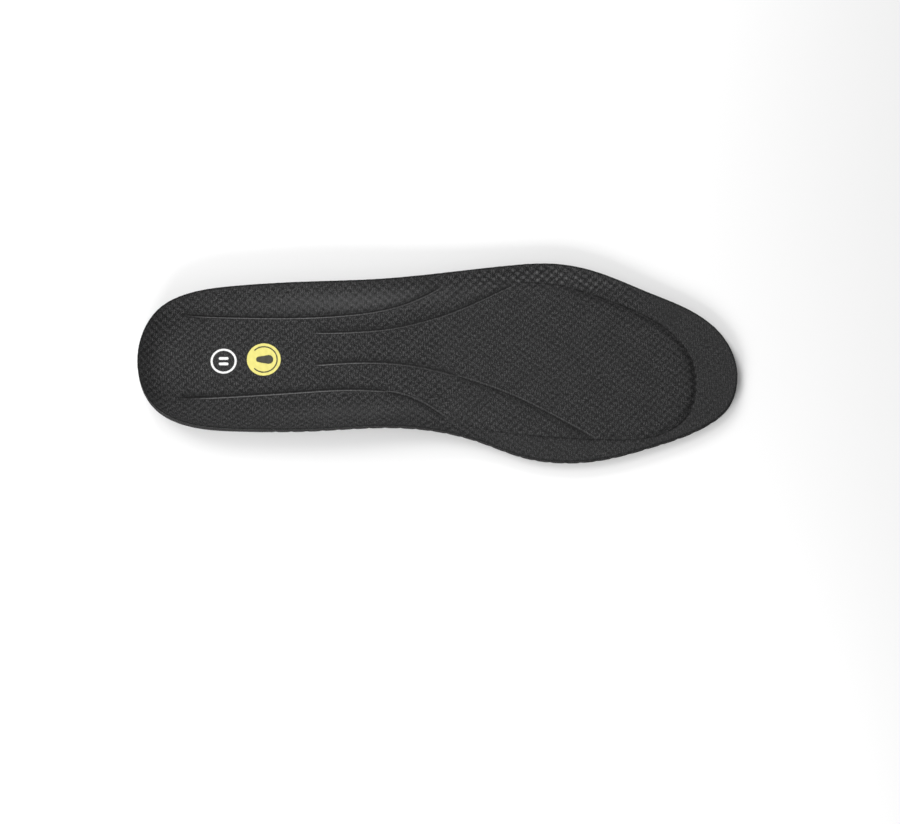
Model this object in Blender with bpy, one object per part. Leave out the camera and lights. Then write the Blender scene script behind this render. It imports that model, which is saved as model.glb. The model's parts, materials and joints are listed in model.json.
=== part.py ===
"""Cushioned insole for the left shoe, size EU 42: a moulded foam footbed with a heel cup, two
softer cushions let into its underside, a backing foam and a knitted cover bonded over it, and
the marks printed on the cover.

+X points to the toe, +Y to the outer (lateral) side of the foot, +Z up. The insole stands on
Z = 0, and the origin is under the middle of its bounding box. Lengths in this file are in
millimetres and are turned into metres where a mesh is made. A place along the insole is its
distance from the back of the heel, and a place across it starts from the heel's centre line.
"""

import math

import bpy
import numpy as np

MM = 0.001

# Plan outline of the rim, from the back of the heel round the lateral side, the toe and the
# medial side.
OUTLINE = (
    (0.0, -1.6), (2.8, 12.4), (9.8, 22.8), (22.5, 29.7), (42.0, 33.3), (75.0, 35.6),
    (108.0, 37.4), (142.0, 41.7), (170.0, 45.5), (188.0, 46.5), (206.0, 43.5), (232.0, 33.2),
    (254.0, 23.0), (266.5, 11.3), (272.0, -5.5), (267.5, -21.5), (257.0, -30.2),
    (232.0, -40.2), (208.0, -46.4), (192.0, -47.4), (174.0, -44.8), (156.0, -38.4),
    (138.0, -34.0), (112.0, -32.8), (80.0, -34.8), (46.0, -34.8), (22.0, -31.8),
    (8.5, -24.4), (1.8, -13.5),
)

# Tables along the insole: (distance from the back of the heel, value).
FLOOR_LEVEL = (
    (0, 6.2), (60, 6.2), (100, 6.1), (130, 5.6), (160, 4.7), (200, 4.0), (240, 3.3), (272, 2.8),
)
LATERAL_RISE = (
    (0, 7.6), (30, 7.2), (60, 6.8), (90, 6.2), (120, 4.5), (150, 3.0), (200, 1.7), (240, 0.8),
    (272, 0.3),
)
MEDIAL_RISE = (
    (0, 7.6), (30, 7.9), (60, 7.9), (90, 7.6), (115, 6.0), (135, 3.2), (155, 1.2), (200, 0.4),
    (272, 0.3),
)
LATERAL_WALL = ((0, 12.0), (60, 13.0), (120, 13.5), (160, 9.0), (210, 7.0), (272, 5.0))
MEDIAL_WALL = ((0, 12.0), (40, 16.0), (80, 19.0), (120, 17.0), (160, 9.0), (210, 6.5), (272, 5.0))
RIM_THICKNESS = ((0, 3.3), (140, 3.3), (220, 3.0), (272, 2.5))

WALL_POWER = 2.2  # how the cup's inner face steepens towards the rim
FLAT_FLOOR_END = 75.0  # the heel's floor is level up to here

# The forefoot pad, which stands proud of the band round it and fades out under the arch.
PAD_BORDER = (
    (150.0, 36.0), (171.0, 38.0), (192.0, 36.4), (210.0, 30.8), (227.0, 23.8), (241.0, 14.8),
    (250.5, 3.0), (253.0, -9.0), (249.5, -24.5), (238.5, -33.4), (212.0, -36.8), (165.0, -33.4),
    (146.0, -27.6),
)
PAD_RISE = 1.3
PAD_SLOPE = 3.0
PAD_FADE_START, PAD_FADE_END = 118.0, 190.0

# Laminate.
GAP = 0.3
COVER_SHARE, COVER_THIN, COVER_THICK = 0.2, 0.7, 1.0
BACKING_SHARE = 0.25

# Cushions in the underside: centre, half length, half width, depth.
HEEL_CUSHION = ((44.0, -1.2), 27.0, 15.5, 1.7)
FOREFOOT_CUSHION = ((193.0, -1.5), 31.0, 30.0, 1.2)
CUSHION_SQUARENESS = 2.5
CUSHION_SEGMENTS = 44

# Printed marks on the heel.
PRINT_THICKNESS = 0.2
SIZE_MARK = (38.8, -0.4)
SIZE_RING_OUTER, SIZE_RING_INNER = 6.0, 4.9
SIZE_BAR_LENGTH, SIZE_BAR_WIDTH, SIZE_BAR_PITCH = 4.4, 1.3, 2.6
SYMBOL = (57.0, 0.4)
SYMBOL_RADIUS = 7.75
SYMBOL_RING_OUTER, SYMBOL_RING_INNER = 6.3, 5.8
SYMBOL_RING_SWEEP = 270.0
GLYPH_BALL, GLYPH_HEEL, GLYPH_REACH = 2.1, 1.3, 4.4
ROUND_SEGMENTS = 36

# Mesh density.
STATIONS_A_SIDE = 46
RING_DEPTHS = (0.0, 2.0, 4.5, 7.5, 11.0, 15.0)
INNER_RINGS = 3
SPINE_HEEL, SPINE_TOE = 34.0, 228.0
OUTLINE_SAMPLES = 720


class Smooth:
    """A cubic curve through points given at rising knots, open or closed."""

    def __init__(self, knots, points, closed=False):
        self.knots = np.asarray(knots, float)
        self.points = np.asarray(points, float)
        self.closed = closed
        if closed:
            self.points = np.vstack([self.points, self.points[:1]])
        self.bend = self.second_derivatives()

    def second_derivatives(self):
        step = np.diff(self.knots)
        count = len(self.knots)
        matrix = np.eye(count)
        right = np.zeros_like(self.points)
        slope = np.diff(self.points, axis=0) / (step if self.points.ndim == 1 else step[:, None])
        for i in range(1, count - 1):
            matrix[i, i - 1:i + 2] = step[i - 1], 2 * (step[i - 1] + step[i]), step[i]
            right[i] = 6 * (slope[i] - slope[i - 1])
        if self.closed:
            matrix[0] = 0
            matrix[0, 0], matrix[0, 1] = 2 * (step[-1] + step[0]), step[0]
            matrix[0, -2] = step[-1]
            right[0] = 6 * (slope[0] - slope[-1])
            matrix[-1, 0] = -1
        return np.linalg.solve(matrix, right)

    def __call__(self, at):
        at = np.clip(np.asarray(at, float), self.knots[0], self.knots[-1])
        i = np.clip(np.searchsorted(self.knots, at) - 1, 0, len(self.knots) - 2)
        step = self.knots[i + 1] - self.knots[i]
        a = (self.knots[i + 1] - at) / step
        b = 1 - a
        if self.points.ndim > 1:
            a, b, step = a[..., None], b[..., None], step[..., None]
        bend = ((a**3 - a) * self.bend[i] + (b**3 - b) * self.bend[i + 1]) * step**2 / 6
        return a * self.points[i] + b * self.points[i + 1] + bend


def table(rows):
    knots, values = zip(*rows)
    return Smooth(knots, values)


def closed_curve(points, samples):
    """Evenly spaced points along a smooth closed curve through the given ones."""
    points = np.asarray(points, float)
    chords = np.linalg.norm(np.roll(points, -1, axis=0) - points, axis=1)
    knots = np.concatenate([[0], np.cumsum(chords)])
    fine = Smooth(knots, points, closed=True)(np.linspace(0, knots[-1], 8 * samples + 1))
    run = np.concatenate([[0], np.cumsum(np.linalg.norm(np.diff(fine, axis=0), axis=1))])
    even = np.linspace(0, run[-1], samples, endpoint=False)
    return np.column_stack([np.interp(even, run, fine[:, 0]), np.interp(even, run, fine[:, 1])])


def smoothstep(value):
    t = np.clip(value, 0, 1)
    return t * t * (3 - 2 * t)


def inside(points, loop):
    """Whether each point lies inside a closed loop."""
    x, y = points[:, :1], points[:, 1:]
    ax, ay = loop[:, 0], loop[:, 1]
    bx, by = np.roll(ax, -1), np.roll(ay, -1)
    straddles = (ay > y) != (by > y)
    run = np.where(by == ay, 1, by - ay)
    crosses = straddles & (x < ax + (y - ay) * (bx - ax) / run)
    return crosses.sum(axis=1) % 2 == 1


def distance_to(points, loop):
    """Distance of each point to the nearest sample of a loop, and that sample's index."""
    gaps = np.linalg.norm(points[:, None, :] - loop[None, :, :], axis=2)
    nearest = gaps.argmin(axis=1)
    return gaps[np.arange(len(points)), nearest], nearest


class Insole:
    """The heights of the insole's surfaces over its plan."""

    def __init__(self):
        self.rim = closed_curve(OUTLINE, OUTLINE_SAMPLES)
        self.pad = closed_curve(PAD_BORDER, OUTLINE_SAMPLES // 2)
        self.toe_index = int(self.rim[:, 0].argmax())
        self.floor_level = table(FLOOR_LEVEL)
        self.rise = table(LATERAL_RISE), table(MEDIAL_RISE)
        self.wall = table(LATERAL_WALL), table(MEDIAL_WALL)
        self.rim_thickness = table(RIM_THICKNESS)

    def floor(self, points):
        along = points[:, 0]
        level = self.floor_level(np.maximum(along, FLAT_FLOOR_END))
        depth, _ = distance_to(points, self.pad)
        signed = np.where(inside(points, self.pad), depth, -depth)
        fade = smoothstep((along - PAD_FADE_START) / (PAD_FADE_END - PAD_FADE_START))
        return level + PAD_RISE * smoothstep(signed / PAD_SLOPE) * fade

    def section(self, points):
        """Depth inside the rim, and the wall's rise, width and rim thickness there."""
        depth, nearest = distance_to(points, self.rim)
        along = self.rim[nearest, 0]
        lateral = nearest <= self.toe_index
        rise = np.where(lateral, self.rise[0](along), self.rise[1](along))
        width = np.where(lateral, self.wall[0](along), self.wall[1](along))
        return depth, rise, width, self.rim_thickness(along)

    def top(self, points):
        depth, rise, width, _ = self.section(points)
        climb = np.clip(1 - depth / width, 0, 1) ** WALL_POWER
        return self.floor(points) + rise * climb

    def steepness(self, points):
        """How much longer a vertical cut through a layer is than the layer is thick."""
        depth, rise, width, _ = self.section(points)
        slope = WALL_POWER * rise / width * np.clip(1 - depth / width, 0, 1) ** (WALL_POWER - 1)
        return np.sqrt(1 + slope**2)

    def thickness(self, points):
        """The laminate's full thickness, square to its surface."""
        depth, _, width, rim = self.section(points)
        return rim + (self.floor(points) - rim) * smoothstep(depth / width)

    def layers(self, points):
        """Heights of the four faces between the pieces, from the cover's top downwards."""
        top, steep, full = self.top(points), self.steepness(points), self.thickness(points)
        cover = np.clip(COVER_SHARE * full, COVER_THIN, COVER_THICK)
        backing = BACKING_SHARE * full
        depths = {
            "cover_top": 0 * full,
            "cover_underside": cover,
            "backing_top": cover + GAP,
            "backing_underside": cover + GAP + backing,
            "footbed_top": cover + backing + 2 * GAP,
        }
        heights = {name: top - depth * steep for name, depth in depths.items()}
        heights["footbed_underside"] = np.maximum(top - full * steep, 0)
        heights["footbed_underside"][self.section(points)[0] >= self.section(points)[2]] = 0
        return heights


def plan_grid(insole):
    """Nodes and triangles of the plan: rings that follow the rim in to a spine along the foot.

    Every sheet uses the same triangles, so two sheets never cross between their vertices.
    """
    half = STATIONS_A_SIDE
    toe, samples = insole.toe_index, len(insole.rim)
    lateral = np.round(np.linspace(0, toe, half + 1)).astype(int)
    medial = np.round(np.linspace(samples, toe, half + 1)).astype(int) % samples
    order = np.concatenate([lateral, medial[-2:0:-1]])
    rim = insole.rim[order]
    partner = np.concatenate([np.arange(half + 1), np.arange(half - 1, 0, -1)])
    mids = (insole.rim[lateral] + insole.rim[medial]) / 2
    mids[:, 0] = np.clip(mids[:, 0], SPINE_HEEL, SPINE_TOE)
    spine_nodes, spine_of = [], []
    for x, y in mids:
        if spine_nodes and x - spine_nodes[-1][0] < MM:
            spine_of.append(len(spine_nodes) - 1)
            continue
        spine_nodes.append((x, y))
        spine_of.append(len(spine_nodes) - 1)
    spine_nodes = np.array(spine_nodes)
    spine = spine_nodes[np.array(spine_of)[partner]]
    reach = np.linalg.norm(spine - rim, axis=1)
    shares = [depth / reach for depth in RING_DEPTHS]
    last = shares[-1]
    shares += [last + (1 - last) * k / (INNER_RINGS + 1) for k in range(1, INNER_RINGS + 1)]
    rings = [rim + (spine - rim) * share[:, None] for share in shares]
    count = len(rim)
    nodes = np.vstack([*rings, spine_nodes])
    ids = [np.arange(count) + count * k for k in range(len(rings))]
    ids.append(count * len(rings) + np.array(spine_of)[partner])
    cells = []
    for outer, inner in zip(ids, ids[1:]):
        for i in range(count):
            j = (i + 1) % count
            cells.append([int(c) for c in (outer[i], inner[i], inner[j])])
            cells.append([int(c) for c in (outer[i], inner[j], outer[j])])
    return nodes, [cell for cell in cells if len(set(cell)) == 3], count


def material(name, color, roughness):
    made = bpy.data.materials.new(name)
    made.use_nodes = True
    shader = made.node_tree.nodes["Principled BSDF"]
    shader.inputs["Base Color"].default_value = (*color, 1)
    shader.inputs["Roughness"].default_value = roughness
    shader.inputs["Metallic"].default_value = 0.0
    return made


def solid(name, vertices, faces, look):
    """A named object made of one closed mesh, its vertices given in millimetres."""
    mesh = bpy.data.meshes.new(name)
    mesh.from_pydata([tuple(float(c) for c in v) for v in vertices], [], faces)
    mesh.materials.append(look)
    made = bpy.data.objects.new(name, mesh)
    bpy.context.collection.objects.link(made)
    return made


def placed(points, heights, origin):
    """World vertices over plan points, about the insole's origin."""
    return np.column_stack([(points - origin) * MM, np.asarray(heights) * MM])


def layer(name, grid, upper, lower, origin, look):
    """A sheet between two surfaces over the same plan grid."""
    nodes, cells, rim_count = grid
    vertices = np.vstack([placed(nodes, upper, origin), placed(nodes, lower, origin)])
    under = len(nodes)
    faces = [list(cell) for cell in cells]
    faces += [[c + under for c in cell[::-1]] for cell in cells]
    for i in range(rim_count):
        j = (i + 1) % rim_count
        faces.append([i, j, j + under, i + under])
    return solid(name, vertices, faces, look)


def prism(name, outline, low, high, origin, look):
    """An upright block with the given outline, which runs anticlockwise."""
    outline = np.asarray(outline, float)
    count = len(outline)
    vertices = np.vstack([
        placed(outline, np.full(count, low), origin),
        placed(outline, np.full(count, high), origin),
    ])
    faces = [list(range(count))[::-1], list(range(count, 2 * count))]
    for i in range(count):
        j = (i + 1) % count
        faces.append([i, j, j + count, i + count])
    return solid(name, vertices, faces, look)


def ring_outline(centre, inner, outer, sweep):
    """An open ring, as one outline out along the rim and back along the hole."""
    angles = np.radians(np.linspace(-sweep / 2, sweep / 2, ROUND_SEGMENTS + 1))
    turn = np.column_stack([np.cos(angles), np.sin(angles)])
    return np.vstack([centre + outer * turn, centre + inner * turn[::-1]])


def full_turn():
    """Points round a circle of radius 1, anticlockwise."""
    angles = np.radians(np.arange(ROUND_SEGMENTS) * 360 / ROUND_SEGMENTS)
    return np.column_stack([np.cos(angles), np.sin(angles)])


def closed_ring(name, centre, inner, outer, low, high, origin, look):
    """A flat ring with a hole right through it."""
    loops = []
    for radius, height in ((outer, low), (outer, high), (inner, high), (inner, low)):
        heights = np.full(ROUND_SEGMENTS, height)
        loops.append(placed(centre + radius * full_turn(), heights, origin))
    faces = []
    for k in range(4):
        for i in range(ROUND_SEGMENTS):
            j = (i + 1) % ROUND_SEGMENTS
            near, far = k * ROUND_SEGMENTS, (k + 1) % 4 * ROUND_SEGMENTS
            faces.append([near + i, near + j, far + j, far + i])
    return solid(name, np.vstack(loops), faces, look)


def capsule(centre, reach, near_radius, far_radius):
    """A rounded bar: two half rounds of their own radii, joined by straight sides."""
    lean = math.asin((near_radius - far_radius) / reach)
    half = ROUND_SEGMENTS // 4
    points = []
    for sign, radius in ((1, far_radius), (-1, near_radius)):
        spread = math.pi / 2 + sign * lean
        start = -spread if sign > 0 else math.pi - spread
        for k in range(half + 1):
            angle = start + 2 * spread * k / half
            points.append((sign * reach / 2 + radius * math.cos(angle), radius * math.sin(angle)))
    return centre + np.array(points)


def cushion_outline(centre, half_length, half_width, grow=0.0):
    angles = np.radians(np.arange(CUSHION_SEGMENTS) * 360 / CUSHION_SEGMENTS)
    power = 2 / CUSHION_SQUARENESS
    x = np.sign(np.cos(angles)) * np.abs(np.cos(angles)) ** power
    y = np.sign(np.sin(angles)) * np.abs(np.sin(angles)) ** power
    return centre + np.column_stack([x * (half_length + grow), y * (half_width + grow)])


def add_cushion(name, spec, footbed, origin, look):
    """A cushion flush with the underside, in a pocket cut for it with clearance all round."""
    centre, half_length, half_width, depth = spec
    outline = cushion_outline(np.array(centre), half_length, half_width)
    made = prism(name, outline, 0.0, depth, origin, look)
    pocket = cushion_outline(np.array(centre), half_length, half_width, GAP)
    cutter = prism(name + "_pocket", pocket, -1.0, depth + GAP, origin, look)
    cutter.hide_render = True
    cutter.display_type = "WIRE"
    cut = footbed.modifiers.new(name + "_pocket", "BOOLEAN")
    cut.operation = "DIFFERENCE"
    cut.object = cutter
    return made


def add_prints(floor, origin):
    """The two marks on the heel, each a thin film over the cover."""
    white = material("white_print", (0.9, 0.9, 0.9), 0.5)
    yellow = material("yellow_print", (0.78, 0.72, 0.1), 0.5)
    dark = material("dark_print", (0.03, 0.03, 0.03), 0.5)
    low = floor + GAP
    high = low + PRINT_THICKNESS
    size_mark, symbol = np.array(SIZE_MARK), np.array(SYMBOL)
    closed_ring("size_ring_print", size_mark, SIZE_RING_INNER, SIZE_RING_OUTER, low, high, origin, white)
    for number, side in ((1, -1), (2, 1)):
        centre = size_mark + (0, side * SIZE_BAR_PITCH / 2)
        radius = SIZE_BAR_WIDTH / 2
        bar = capsule(centre, SIZE_BAR_LENGTH - SIZE_BAR_WIDTH, radius, radius)
        prism(f"size_bar_print_{number}", bar, low, high, origin, white)
    prism("symbol_disc_print", symbol + SYMBOL_RADIUS * full_turn(), low, high, origin, yellow)
    low, high = high + GAP, high + GAP + PRINT_THICKNESS
    ring = ring_outline(symbol, SYMBOL_RING_INNER, SYMBOL_RING_OUTER, SYMBOL_RING_SWEEP)
    prism("symbol_ring_print", ring, low, high, origin, dark)
    glyph = capsule(symbol, GLYPH_REACH, GLYPH_HEEL, GLYPH_BALL)
    prism("symbol_glyph_print", glyph, low, high, origin, dark)


def main():
    for old in list(bpy.data.objects):
        bpy.data.objects.remove(old)
    insole = Insole()
    low, high = insole.rim.min(axis=0), insole.rim.max(axis=0)
    origin = (low + high) / 2
    grid = plan_grid(insole)
    heights = insole.layers(grid[0])
    layer("cover_fabric", grid, heights["cover_top"], heights["cover_underside"], origin,
          material("knitted_cover", (0.045, 0.045, 0.047), 0.85))
    layer("cover_foam", grid, heights["backing_top"], heights["backing_underside"], origin,
          material("backing_foam", (0.05, 0.05, 0.05), 0.9))
    footbed = layer("footbed", grid, heights["footbed_top"], heights["footbed_underside"], origin,
                    material("moulded_foam", (0.02, 0.02, 0.02), 0.8))
    soft = material("cushion_foam", (0.08, 0.08, 0.09), 0.7)
    add_cushion("heel_cushion", HEEL_CUSHION, footbed, origin, soft)
    add_cushion("forefoot_cushion", FOREFOOT_CUSHION, footbed, origin, soft)
    add_prints(FLOOR_LEVEL[0][1], origin)


main()
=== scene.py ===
"""Looks of the cushioned insole: the bumpy knitted cover with its pressed lines, the foam layers
below it, the cushions in its underside and the printed marks on its heel.

Lengths are in millimetres up to the point where a mesh is made. A place along the insole is its
distance from the back of the heel, and a place across it starts from the heel's centre line, as
in the CAD model. Both are set into the frame by the CAD cover's box.
"""

import json
import math

import bpy
import numpy as np
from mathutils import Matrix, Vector, kdtree

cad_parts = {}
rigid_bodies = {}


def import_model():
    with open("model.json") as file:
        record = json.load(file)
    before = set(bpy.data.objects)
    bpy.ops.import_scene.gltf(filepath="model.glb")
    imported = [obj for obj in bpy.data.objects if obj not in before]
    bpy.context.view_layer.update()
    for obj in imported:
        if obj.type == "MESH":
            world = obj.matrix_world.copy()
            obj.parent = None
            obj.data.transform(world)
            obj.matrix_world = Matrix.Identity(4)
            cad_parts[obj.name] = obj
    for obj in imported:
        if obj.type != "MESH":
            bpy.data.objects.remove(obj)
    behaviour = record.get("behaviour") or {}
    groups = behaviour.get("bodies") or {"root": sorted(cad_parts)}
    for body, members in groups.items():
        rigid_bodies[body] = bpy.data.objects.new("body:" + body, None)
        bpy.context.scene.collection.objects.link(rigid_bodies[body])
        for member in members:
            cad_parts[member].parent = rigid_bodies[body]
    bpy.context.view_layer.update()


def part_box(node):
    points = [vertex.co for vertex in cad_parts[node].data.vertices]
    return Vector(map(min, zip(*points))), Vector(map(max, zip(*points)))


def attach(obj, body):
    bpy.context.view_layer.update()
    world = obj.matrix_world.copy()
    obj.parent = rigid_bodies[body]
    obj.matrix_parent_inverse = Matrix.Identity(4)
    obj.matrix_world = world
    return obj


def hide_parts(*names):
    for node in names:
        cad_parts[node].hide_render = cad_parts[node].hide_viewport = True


MM = 0.001

# -------------------- shape, as in the CAD model
OUTLINE = (
    (0, -1.6), (2.8, 12.4), (9.8, 22.8), (22.5, 29.7), (42, 33.3), (75, 35.6),
    (108, 37.4), (142, 41.7), (170, 45.5), (188, 46.5), (206, 43.5), (232, 33.2),
    (254, 23), (266.5, 11.3), (272, -5.5), (267.5, -21.5), (257, -30.2),
    (232, -40.2), (208, -46.4), (192, -47.4), (174, -44.8), (156, -38.4),
    (138, -34), (112, -32.8), (80, -34.8), (46, -34.8), (22, -31.8),
    (8.5, -24.4), (1.8, -13.5),
)
FLOOR_LEVEL = (
    (0, 6.2), (60, 6.2), (100, 6.1), (130, 5.6), (160, 4.7), (200, 4), (240, 3.3), (272, 2.8),
)
LATERAL_RISE = (
    (0, 7.6), (30, 7.2), (60, 6.8), (90, 6.2), (120, 4.5), (150, 3), (200, 1.7), (240, 0.8),
    (272, 0.3),
)
MEDIAL_RISE = (
    (0, 7.6), (30, 7.9), (60, 7.9), (90, 7.6), (115, 6), (135, 3.2), (155, 1.2), (200, 0.4),
    (272, 0.3),
)
LATERAL_WALL = ((0, 12), (60, 13), (120, 13.5), (160, 9), (210, 7), (272, 5))
MEDIAL_WALL = ((0, 12), (40, 16), (80, 19), (120, 17), (160, 9), (210, 6.5), (272, 5))
RIM_THICKNESS = ((0, 3.3), (140, 3.3), (220, 3), (272, 2.5))
WALL_POWER = 2.2
FLAT_FLOOR_END = 75.0
PAD_BORDER = (
    (150, 36), (171, 38), (192, 36.4), (210, 30.8), (227, 23.8), (241, 14.8),
    (250.5, 3), (253, -9), (249.5, -24.5), (238.5, -33.4), (212, -36.8), (165, -33.4),
    (146, -27.6),
)
PAD_RISE = 1.3
PAD_SLOPE = 2.0  # its rise fades out over this length, from a crisp border
PAD_FADE_START, PAD_FADE_END = 118.0, 190.0
COVER_SHARE, COVER_THIN, COVER_THICK = 0.2, 0.7, 1.0
BACKING_SHARE = 0.25
CAD_GAP = 0.3
SEAM = 0.04  # what is left open between two bonded faces

# -------------------- pressed lines of the cover
# Each runs from heel to toe along its crease; its steep flank is on the side of the insole's middle.
LATERAL_LINES = (
    ((17, 21.7), (34, 21), (54, 20.5), (75, 20.6), (94.5, 21.8), (105, 23.1),
     (114.5, 25.1), (124, 28.3), (140, 36.6)),
    ((78, 13.3), (100, 13.9), (116, 15.7), (131, 19.4), (146, 24.7), (160, 31.3),
     (173, 37.8)),
)
MEDIAL_LINES = (
    ((78, -2.1), (97, -0.8), (112, -0.9), (130, -3.2), (151, -9.1), (171, -16.8),
     (190.5, -27.1), (210.5, -38.2)),
    ((17, -17.9), (33, -17.4), (54, -16.2), (75.5, -14.7), (90, -13.8), (104, -13.8),
     (118, -15.6), (127.3, -19), (142, -28.8)),
)
# The painted highlight of each line lies so far from it, on its gentle side before these places along the
# insole and on its steep side after them; 0 is before the line starts.
HIGHLIGHT_EDGE = 0.5
LATERAL_HIGHLIGHT_SWITCHES, MEDIAL_HIGHLIGHT_SWITCHES = (0, 0), (145.0, 113.0)
HIGHLIGHT_SWITCH_LENGTH = 8.0
LINE_SAMPLES = 400
LINE_DEPTH = 0.8
LINE_STEEP, LINE_GENTLE = 0.45, 1.9
LINE_FADE = 6.5
LINE_REACH = 9.0
BORDER_DEPTH = 0.45
BORDER_INSIDE, BORDER_OUTSIDE = 1.6, 0.6  # how far its pressing reaches to either side
COVER_FOLLOWS, BACKING_FOLLOWS = 0.85, 0.4  # how much of a line shows below each layer
EDGE_ROUND, EDGE_ROUND_WIDTH = 0.25, 0.9

# -------------------- knit
BUMP_LENGTH, BUMP_WIDTH = 4.38, 3.62
BUMP_HEIGHT = 0.31
DOME_POWER, DOME_MEAN = 0.75, 0.55
KNIT_TURN = math.radians(4.3)
KNIT_WANDER, KNIT_WANDER_PITCH = 0.18, 9
KNIT_UNEVEN, KNIT_UNEVEN_PITCH = 0.1, 5
PRESSED_BAND = 0.3  # the share of a bump's height that is left where the knit is pressed flat
RIB_PITCH, RIB_HEIGHT = 2.6, 0.35
STITCH_WIDTH, STITCH_LENGTH = BUMP_LENGTH / 4, BUMP_WIDTH / 4

# Where the mould flattens the knit: how much, then the start and the length of each edge.
FLAT_MEDIAL, FLAT_LINE, FLAT_BORDER, FLAT_PRINT, FLAT_PAD, FLAT_RIM = 0.7, 0.8, 0.6, 0.85, 0.3, 0.65
TOE_BAND = 222, 16
MEDIAL_BAND_ALONG, MEDIAL_BAND_ACROSS = (140, 25), (12, 14)
BAND_EDGE, PAD_EDGE, PRINT_EDGE, RIM_EDGE = 1.5, 3, 2, (0.5, 2)
LINE_WIDTH, BORDER_WIDTH = 0.9, 1.2

# -------------------- underside
FLEX_PITCH, FLEX_DEPTH, FLEX_WIDTH = 7.0, 0.8, 0.9
FLEX_START, FLEX_END = 62.0, 266.0
FLEX_FADE_IN, FLEX_FADE_OUT = 4, 5
FLEX_BOW = 0.0022
FLEX_CLEARANCE = 4
# Each cushion's middle, half its length, half its width, and its thickness.
HEEL_CUSHION = ((44.0, -1.2), 27.0, 15.5, 1.7)
FOREFOOT_CUSHION = ((193.0, -1.5), 31.0, 30.0, 1.2)
CUSHION_SQUARENESS = 2.5
CUSHION_ROUND, CUSHION_ROUND_WIDTH = 0.5, 0.45
CUSHION_RINGS, CUSHION_SEGMENTS = 40, 192
DIMPLE_PITCH, DIMPLE_RADIUS, DIMPLE_DEPTH = 3.4, 1.25, 0.45
POCKET_SEGMENTS = 128

# -------------------- prints
SIZE_MARK = (38.8, -0.4)
SIZE_RING_OUTER, SIZE_RING_INNER = 6.0, 4.9
SIZE_BAR_LENGTH, SIZE_BAR_WIDTH, SIZE_BAR_PITCH = 4.4, 1.3, 2.6
SYMBOL = (57.0, 0.4)
SYMBOL_RADIUS = 7.75
SYMBOL_RING_OUTER, SYMBOL_RING_INNER = 6.3, 5.8
SYMBOL_RING_SWEEP = 270.0
GLYPH_BALL, GLYPH_HEEL, GLYPH_REACH = 2.1, 1.3, 4.4
INK = 0.05
INK_SHORT = 0.08
INK_RAGGED, INK_RAGGED_PITCH = 0.025, 0.5
LOW_INK, HIGH_INK = 0.03, 0.11  # height of each layer of ink above the knit

# -------------------- mesh density
COVER_CELLS = 512, 148
OUTLINE_SAMPLES = 3200
CORNERS = ((9.0, 22.0), (262.5, 16.5), (262.5, -26.0), (8.0, -23.6))
ALONG_CROWDING, ACROSS_CROWDING = (0.5, 0.05), (0.7, 0.14)
BACKING_CELLS = 256, 74
FOOTBED_CELLS = 400, 84

# -------------------- camera
CAMERA_ELEVATION = math.radians(72.2)
FRAME_WIDTH = 0.4087
LENS, SENSOR = 240.0, 36.0
SHIFT = (0.0135, -0.0547)
CAMERA_TARGET = (0, 0, 0.004)


class Smooth:
    """A cubic curve through points given at rising knots, open or closed."""

    def __init__(self, knots, points, closed=False):
        self.knots = np.asarray(knots, float)
        self.points = np.asarray(points, float)
        self.closed = closed
        if closed:
            self.points = np.vstack([self.points, self.points[:1]])
        self.bend = self.second_derivatives()

    def second_derivatives(self):
        step = np.diff(self.knots)
        count = len(self.knots)
        matrix = np.eye(count)
        right = np.zeros_like(self.points)
        slope = np.diff(self.points, axis=0) / (step if self.points.ndim == 1 else step[:, None])
        for i in range(1, count - 1):
            matrix[i, i - 1:i + 2] = step[i - 1], 2 * (step[i - 1] + step[i]), step[i]
            right[i] = 6 * (slope[i] - slope[i - 1])
        if self.closed:
            matrix[0] = 0
            matrix[0, 0], matrix[0, 1] = 2 * (step[-1] + step[0]), step[0]
            matrix[0, -2] = step[-1]
            right[0] = 6 * (slope[0] - slope[-1])
            matrix[-1, 0] = -1
        return np.linalg.solve(matrix, right)

    def __call__(self, at):
        at = np.clip(np.asarray(at, float), self.knots[0], self.knots[-1])
        i = np.clip(np.searchsorted(self.knots, at) - 1, 0, len(self.knots) - 2)
        step = self.knots[i + 1] - self.knots[i]
        a = (self.knots[i + 1] - at) / step
        b = 1 - a
        if self.points.ndim > 1:
            a, b, step = a[..., None], b[..., None], step[..., None]
        bend = ((a**3 - a) * self.bend[i] + (b**3 - b) * self.bend[i + 1]) * step**2 / 6
        return a * self.points[i] + b * self.points[i + 1] + bend


def table(rows):
    knots, values = zip(*rows)
    return Smooth(knots, values)


def evenly(line, samples, endpoint):
    """Evenly spaced points along a line of many points."""
    run = np.concatenate([[0], np.cumsum(np.linalg.norm(np.diff(line, axis=0), axis=1))])
    even = np.linspace(0, run[-1], samples, endpoint=endpoint)
    return np.column_stack([np.interp(even, run, line[:, k]) for k in (0, 1)])


def even_curve(points, samples, closed):
    """Evenly spaced points along a smooth curve through the given ones."""
    points = np.asarray(points, float)
    ends = np.roll(points, -1, axis=0) if closed else points[1:]
    chords = np.linalg.norm(ends - points[:len(ends)], axis=1)
    knots = np.concatenate([[0], np.cumsum(chords)])
    fine = Smooth(knots, points, closed)(np.linspace(0, knots[-1], 8 * samples + 1))
    return evenly(fine, samples, not closed)


def smoothstep(value):
    t = np.clip(value, 0, 1)
    return t * t * (3 - 2 * t)


def rising(value, start, length):
    """0 before the start, 1 past the length after it."""
    return smoothstep((value - start) / length)


def bell(value):
    return np.exp(-value**2)


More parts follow.
